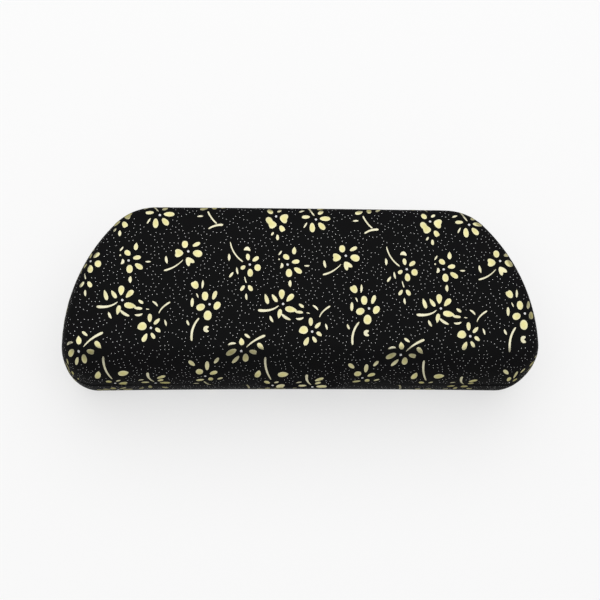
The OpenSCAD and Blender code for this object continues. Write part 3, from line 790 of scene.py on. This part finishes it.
def fine_grain_group():
    """Two noises of different size: the coarse one spread to a mask from 0 to 1, and a share of that mask
    added to the fine one as a height for bumps."""
    tree = bpy.data.node_groups.new("fine_grain", "ShaderNodeTree")
    value_input(tree, "Vector", "NodeSocketVector")
    value_input(tree, "Coarse Scale", "NodeSocketFloat", 120.0)
    value_input(tree, "Fine Scale", "NodeSocketFloat", 2500.0)
    for name in ("Mask", "Height"):
        tree.interface.new_socket(name=name, in_out="OUTPUT", socket_type="NodeSocketFloat")
    source = tree.nodes.new("NodeGroupInput")
    result = tree.nodes.new("NodeGroupOutput")
    coarse = tree.nodes.new("ShaderNodeTexNoise")
    fine = tree.nodes.new("ShaderNodeTexNoise")
    scales = ("Coarse Scale", "Fine Scale")
    for noise, detail, scale in zip((coarse, fine), GRAIN_DETAIL, scales):
        noise.inputs["Detail"].default_value = detail
        tree.links.new(source.outputs["Vector"], noise.inputs["Vector"])
        tree.links.new(source.outputs[scale], noise.inputs["Scale"])
    ramp = tree.nodes.new("ShaderNodeMapRange")
    ramp.inputs["From Min"].default_value, ramp.inputs["From Max"].default_value = GRAIN_RANGE
    mixed = tree.nodes.new("ShaderNodeMath")
    mixed.operation = "MULTIPLY_ADD"
    mixed.inputs[1].default_value = COARSE_SHARE
    tree.links.new(coarse.outputs["Fac"], ramp.inputs["Value"])
    tree.links.new(ramp.outputs["Result"], result.inputs["Mask"])
    tree.links.new(ramp.outputs["Result"], mixed.inputs[0])
    tree.links.new(fine.outputs["Fac"], mixed.inputs[2])
    tree.links.new(mixed.outputs["Value"], result.inputs["Height"])
    return tree


FINE_GRAIN = fine_grain_group()


def new_finish(name, scales):
    """A material with its shader, a grain group on object coordinates, and a bump that feeds the normal."""
    finish = bpy.data.materials.new(name)
    finish.use_nodes = True
    tree = finish.node_tree
    shader = tree.nodes["Principled BSDF"]
    place = tree.nodes.new("ShaderNodeTexCoord")
    grain = tree.nodes.new("ShaderNodeGroup")
    grain.node_tree = FINE_GRAIN
    grain.inputs["Coarse Scale"].default_value, grain.inputs["Fine Scale"].default_value = scales
    tree.links.new(place.outputs["Object"], grain.inputs["Vector"])
    bump = tree.nodes.new("ShaderNodeBump")
    tree.links.new(grain.outputs["Height"], bump.inputs["Height"])
    tree.links.new(bump.outputs["Normal"], shader.inputs["Normal"])
    return finish, tree, shader, place, grain, bump


def two_tone(tree, mask, dark, light):
    """A colour between two by a mask."""
    mix = tree.nodes.new("ShaderNodeMix")
    mix.data_type = "RGBA"
    mix.inputs["A"].default_value = (*dark, 1)
    mix.inputs["B"].default_value = (*light, 1)
    tree.links.new(mask, mix.inputs["Factor"])
    return mix.outputs["Result"]


def spread(tree, mask, low, high):
    """A value between two by a mask."""
    ramp = tree.nodes.new("ShaderNodeMapRange")
    ramp.inputs["To Min"].default_value = low
    ramp.inputs["To Max"].default_value = high
    tree.links.new(mask, ramp.inputs["Value"])
    return ramp.outputs["Result"]


def grained(name, dark, light, rough, metallic, scales, bump_m, specular=0.5, draw=None):
    """A finish that varies in colour and roughness by its grain, which may be drawn out, as on rolled metal,
    by a scale along each axis."""
    finish, tree, shader, place, grain, bump = new_finish(name, scales)
    if draw:
        mapping = tree.nodes.new("ShaderNodeMapping")
        mapping.inputs["Scale"].default_value = draw
        tree.links.new(place.outputs["Object"], mapping.inputs["Vector"])
        tree.links.new(mapping.outputs["Vector"], grain.inputs["Vector"])
    bump.inputs["Distance"].default_value = bump_m
    bump.inputs["Strength"].default_value = GRAIN_BUMP
    shader.inputs["Metallic"].default_value = metallic
    shader.inputs["Specular IOR Level"].default_value = specular
    tree.links.new(two_tone(tree, grain.outputs["Mask"], dark, light), shader.inputs["Base Color"])
    tree.links.new(spread(tree, grain.outputs["Mask"], *rough), shader.inputs["Roughness"])
    return finish


def shader_of(finish):
    """The one shader of a finish."""
    return finish.node_tree.nodes["Principled BSDF"]


def warmer_hearts(finish, tint):
    """Tints the colour by the print's own warmth, which is most in the middle of wide petals."""
    tree, shader = finish.node_tree, shader_of(finish)
    plain = shader.inputs["Base Color"].links[0].from_socket
    warmth = tree.nodes.new("ShaderNodeAttribute")
    warmth.attribute_name = "warmth"
    mix = tree.nodes.new("ShaderNodeMix")
    mix.data_type = "RGBA"
    mix.blend_type = "MULTIPLY"
    mix.inputs["B"].default_value = (*tint, 1)
    tree.links.new(warmth.outputs["Fac"], mix.inputs["Factor"])
    tree.links.new(plain, mix.inputs["A"])
    tree.links.new(mix.outputs["Result"], shader.inputs["Base Color"])


def cloth_finish():
    """Black satin-faced cotton: fine crossed threads along the cloth's own map, with a slight unevenness."""
    finish, tree, shader, place, grain, bump = new_finish("black_cotton", COTTON_GRAIN)
    weave = tree.nodes.new("ShaderNodeMath")
    weave.operation = "MAXIMUM"
    for k, direction in enumerate(("X", "Y")):
        wave = tree.nodes.new("ShaderNodeTexWave")
        wave.bands_direction = direction
        wave.inputs["Scale"].default_value = THREAD_SCALE
        wave.inputs["Distortion"].default_value = THREAD_WAVER
        wave.inputs["Detail"].default_value = 1.0
        tree.links.new(place.outputs["UV"], wave.inputs["Vector"])
        tree.links.new(wave.outputs["Fac"], weave.inputs[k])
    height = tree.nodes.new("ShaderNodeMath")
    height.operation = "MULTIPLY_ADD"
    height.inputs[1].default_value = COTTON_GRAIN_SHARE
    tree.links.new(grain.outputs["Height"], height.inputs[0])
    tree.links.new(weave.outputs["Value"], height.inputs[2])
    tree.links.new(height.outputs["Value"], bump.inputs["Height"])
    bump.inputs["Distance"].default_value = WEAVE_H
    bump.inputs["Strength"].default_value = WEAVE_BUMP
    colour = two_tone(tree, weave.outputs["Value"], COTTON_DARK, COTTON_LIGHT)
    tree.links.new(colour, shader.inputs["Base Color"])
    tree.links.new(spread(tree, grain.outputs["Mask"], *COTTON_ROUGH), shader.inputs["Roughness"])
    shader.inputs["Specular IOR Level"].default_value = COTTON_SHINE
    return finish


BLACK_CLOTH = cloth_finish()
# Each grained finish: darker and lighter colour, roughness, metal, grain scales, grain height in metres
GOLD = grained("gold_print", (0.50, 0.475, 0.325), (0.67, 0.645, 0.475), (0.30, 0.40), 1.0,
               (450.0, 4200.0), 0.000012)
PALE_INK = grained("pin_dot_print", (0.55, 0.55, 0.545), (0.69, 0.69, 0.685), (0.34, 0.42), 0.3,
                   (300.0, 5000.0), 0.000008)
FLOCK = grained("charcoal_flock", (0.016, 0.016, 0.018), (0.034, 0.034, 0.037), (0.9, 1.0), 0.0,
                (130.0, 2600.0), 0.00025, specular=0.1)
SHEET_STEEL = grained("zinc_grey_sheet", (0.30, 0.31, 0.32), (0.42, 0.43, 0.44), (0.42, 0.58), 1.0,
                      (70.0, 900.0), 0.00002)
NICKEL = grained("nickel_plate", (0.60, 0.59, 0.56), (0.74, 0.73, 0.69), (0.28, 0.46), 1.0,
                 (900.0, 6000.0), 0.000004, draw=(0.04, 1, 1))
RIVET_STEEL = grained("rivet_nickel", (0.58, 0.57, 0.55), (0.72, 0.71, 0.68), (0.18, 0.3), 1.0,
                      (400.0, 2200.0), 0.00001)
SPRING_STEEL = grained("spring_strip", (0.34, 0.35, 0.37), (0.48, 0.49, 0.52), (0.24, 0.40), 1.0,
                       (900.0, 6000.0), 0.000004, draw=(1, 0.04, 0.04))
GREY_CARD = grained("grey_card", (0.20, 0.18, 0.15), (0.30, 0.27, 0.23), (0.85, 0.95), 0.0,
                    (250.0, 1400.0), 0.00006, specular=0.2)
warmer_hearts(GOLD, WARM_TINT)
for ink in (GOLD, PALE_INK):
    shader_of(ink).inputs["Specular Tint"].default_value = INK_EDGE_TINT
shader_of(FLOCK).inputs["Sheen Weight"].default_value = 0.35
shader_of(FLOCK).inputs["Sheen Roughness"].default_value = 0.6

CAD_FINISHES = {
    "base_shell": SHEET_STEEL, "lid_shell": SHEET_STEEL, "base_card": GREY_CARD, "lid_card": GREY_CARD,
    "base_hinge_leaf": NICKEL, "lid_hinge_leaf": NICKEL, "hinge_pin": RIVET_STEEL,
    "base_rivets": RIVET_STEEL, "lid_rivets": RIVET_STEEL, "snap_spring": SPRING_STEEL,
}
for node, finish in CAD_FINISHES.items():
    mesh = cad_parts[node].data
    mesh.materials.clear()
    mesh.materials.append(finish)


# Pieces on the two halves


def dress_half(half, tile, pins):
    """Cover, lining and print of one half, each riding on that half."""
    is_lid = half == "lid"
    points, faces, chart = half_cover(is_lid)
    cover = add_piece(half + "_cover", points, faces, half, BLACK_CLOTH, chart)
    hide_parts(half + "_cloth")
    points, faces, _ = half_lining(is_lid)
    lining = add_piece(half + "_lining_tray", points, faces, half, FLOCK)
    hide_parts(half + "_lining")
    flowers, pin_dots = print_on(is_lid, tile, pins)
    add_piece(half + "_flower_print", *flowers[:2], half, GOLD, warmth=flowers[2])
    add_piece(half + "_pin_dots", *pin_dots[:2], half, PALE_INK)


TILE = print_tile()
PINS = scattered_dots(*TILE[:3])
for half in ("lid", "base"):
    dress_half(half, TILE, PINS)


# Floor, light and camera, in metres

# Half the floor's width, how far it lies under the case, its grey, and how much of it glows
FLOOR_HALF, FLOOR_DROP, FLOOR_GREY, FLOOR_GLOW = 60.0, 0.0002, 0.92, 0.6
# Each lamp: its place, its width and its watts, and the point that all look at
LAMPS = {"overhead_soft_light": ((0.0, 0.20, 0.78), 1.4, 7.0),
         "back_soft_light": ((0.0, 0.52, 0.74), 0.6, 0.2)}
LAMP_TARGET = (0, 0, 0.02)
# The room's grey falls from the first to the second value between these two heights of the view's direction
ROOM_GREYS, ROOM_HEIGHTS = (0.72, 0.42), (0.03, 0.35)
# The camera's turns up, sideways and about its line of sight, the point it looks at and how far off it is
CAMERA_TURNS = (71.5, -13.9, 13.5)
CAMERA_TARGET, CAMERA_FAR = (0, 0, 0.018), 0.42
# Sensor width in millimetres, and the picture's width, focal length and shift in pixels
SENSOR_W, PICTURE_PX, FOCAL_PX, SHIFT_PX = 36.0, 600, 1216.7, (-0.1, 2.7)


def pale_floor():
    """A wide pale floor that the camera and mirrors see nearly white, with the case's shadow kept."""
    mesh = bpy.data.meshes.new("floor")
    sides = ((-1, -1), (1, -1), (1, 1), (-1, 1))
    corners = [(x * FLOOR_HALF, y * FLOOR_HALF, -FLOOR_DROP) for x, y in sides]
    mesh.from_pydata(corners, [], [(0, 1, 2, 3)])
    finish = bpy.data.materials.new("pale_floor")
    finish.use_nodes = True
    tree = finish.node_tree
    shader = tree.nodes["Principled BSDF"]
    shader.inputs["Base Color"].default_value = (FLOOR_GREY, FLOOR_GREY, FLOOR_GREY, 1)
    shader.inputs["Roughness"].default_value = 0.9
    shader.inputs["Specular IOR Level"].default_value = 0.1
    glow = tree.nodes.new("ShaderNodeEmission")
    path = tree.nodes.new("ShaderNodeLightPath")
    seen = path.outputs["Is Camera Ray"]
    for other in ("Is Glossy Ray", "Is Transmission Ray"):
        either = tree.nodes.new("ShaderNodeMath")
        either.operation = "MAXIMUM"
        tree.links.new(seen, either.inputs[0])
        tree.links.new(path.outputs[other], either.inputs[1])
        seen = either.outputs["Value"]
    share = tree.nodes.new("ShaderNodeMath")
    share.operation = "MULTIPLY"
    share.inputs[1].default_value = FLOOR_GLOW
    tree.links.new(seen, share.inputs[0])
    mix = tree.nodes.new("ShaderNodeMixShader")
    tree.links.new(share.outputs["Value"], mix.inputs["Fac"])
    tree.links.new(shader.outputs["BSDF"], mix.inputs[1])
    tree.links.new(glow.outputs["Emission"], mix.inputs[2])
    tree.links.new(mix.outputs["Shader"], tree.nodes["Material Output"].inputs["Surface"])
    mesh.materials.append(finish)
    floor = bpy.data.objects.new("floor", mesh)
    bpy.context.scene.collection.objects.link(floor)


def soft_light(name, place, size, watts):
    """A square lamp that looks at the case along its own -Z axis."""
    lamp = bpy.data.lights.new(name, "AREA")
    lamp.shape = "SQUARE"
    lamp.size = size
    lamp.energy = watts
    holder = bpy.data.objects.new(name, lamp)
    look = (Vector(LAMP_TARGET) - Vector(place)).to_track_quat("-Z", "Y")
    holder.matrix_world = Matrix.Translation(place) @ look.to_matrix().to_4x4()
    bpy.context.scene.collection.objects.link(holder)


def grey_room():
    """An even grey room that pales towards the far end of the floor."""
    world = bpy.data.worlds.new("room")
    world.use_nodes = True
    tree = world.node_tree
    direction = tree.nodes.new("ShaderNodeTexCoord")
    split = tree.nodes.new("ShaderNodeSeparateXYZ")
    fade = tree.nodes.new("ShaderNodeMapRange")
    fade.interpolation_type = "SMOOTHSTEP"
    fade.inputs["From Min"].default_value, fade.inputs["From Max"].default_value = ROOM_HEIGHTS
    fade.inputs["To Min"].default_value, fade.inputs["To Max"].default_value = ROOM_GREYS
    tree.links.new(direction.outputs["Generated"], split.inputs["Vector"])
    tree.links.new(split.outputs["Z"], fade.inputs["Value"])
    tree.links.new(fade.outputs["Result"], tree.nodes["Background"].inputs["Color"])
    bpy.context.scene.world = world


def photo_camera():
    """Looks down on the front of the case, turned a little about its own line of sight."""
    up_turn, side_turn, roll_turn = (math.radians(angle) for angle in CAMERA_TURNS)
    back = np.array([math.sin(side_turn) * math.cos(up_turn), -math.cos(side_turn) * math.cos(up_turn),
                     math.sin(up_turn)])
    right = np.array([math.cos(side_turn), math.sin(side_turn), 0.0])
    up = np.cross(back, right)
    across = math.cos(roll_turn) * right + math.sin(roll_turn) * up
    above = math.cos(roll_turn) * up - math.sin(roll_turn) * right
    place = np.array(CAMERA_TARGET) + CAMERA_FAR * back
    lens = bpy.data.cameras.new("photo_camera")
    lens.sensor_width = SENSOR_W
    lens.lens = FOCAL_PX / PICTURE_PX * SENSOR_W
    lens.shift_x = SHIFT_PX[0] / PICTURE_PX
    lens.shift_y = SHIFT_PX[1] / PICTURE_PX
    lens.clip_start = 0.01
    camera = bpy.data.objects.new("photo_camera", lens)
    axes = np.eye(4)
    axes[:3, :4] = np.stack([across, above, back, place], 1)
    camera.matrix_world = Matrix(axes.tolist())
    bpy.context.scene.collection.objects.link(camera)
    bpy.context.scene.camera = camera


pale_floor()
for name, (place, size, watts) in LAMPS.items():
    soft_light(name, place, size, watts)
grey_room()
photo_camera()
bpy.context.scene.view_settings.view_transform = "Standard"
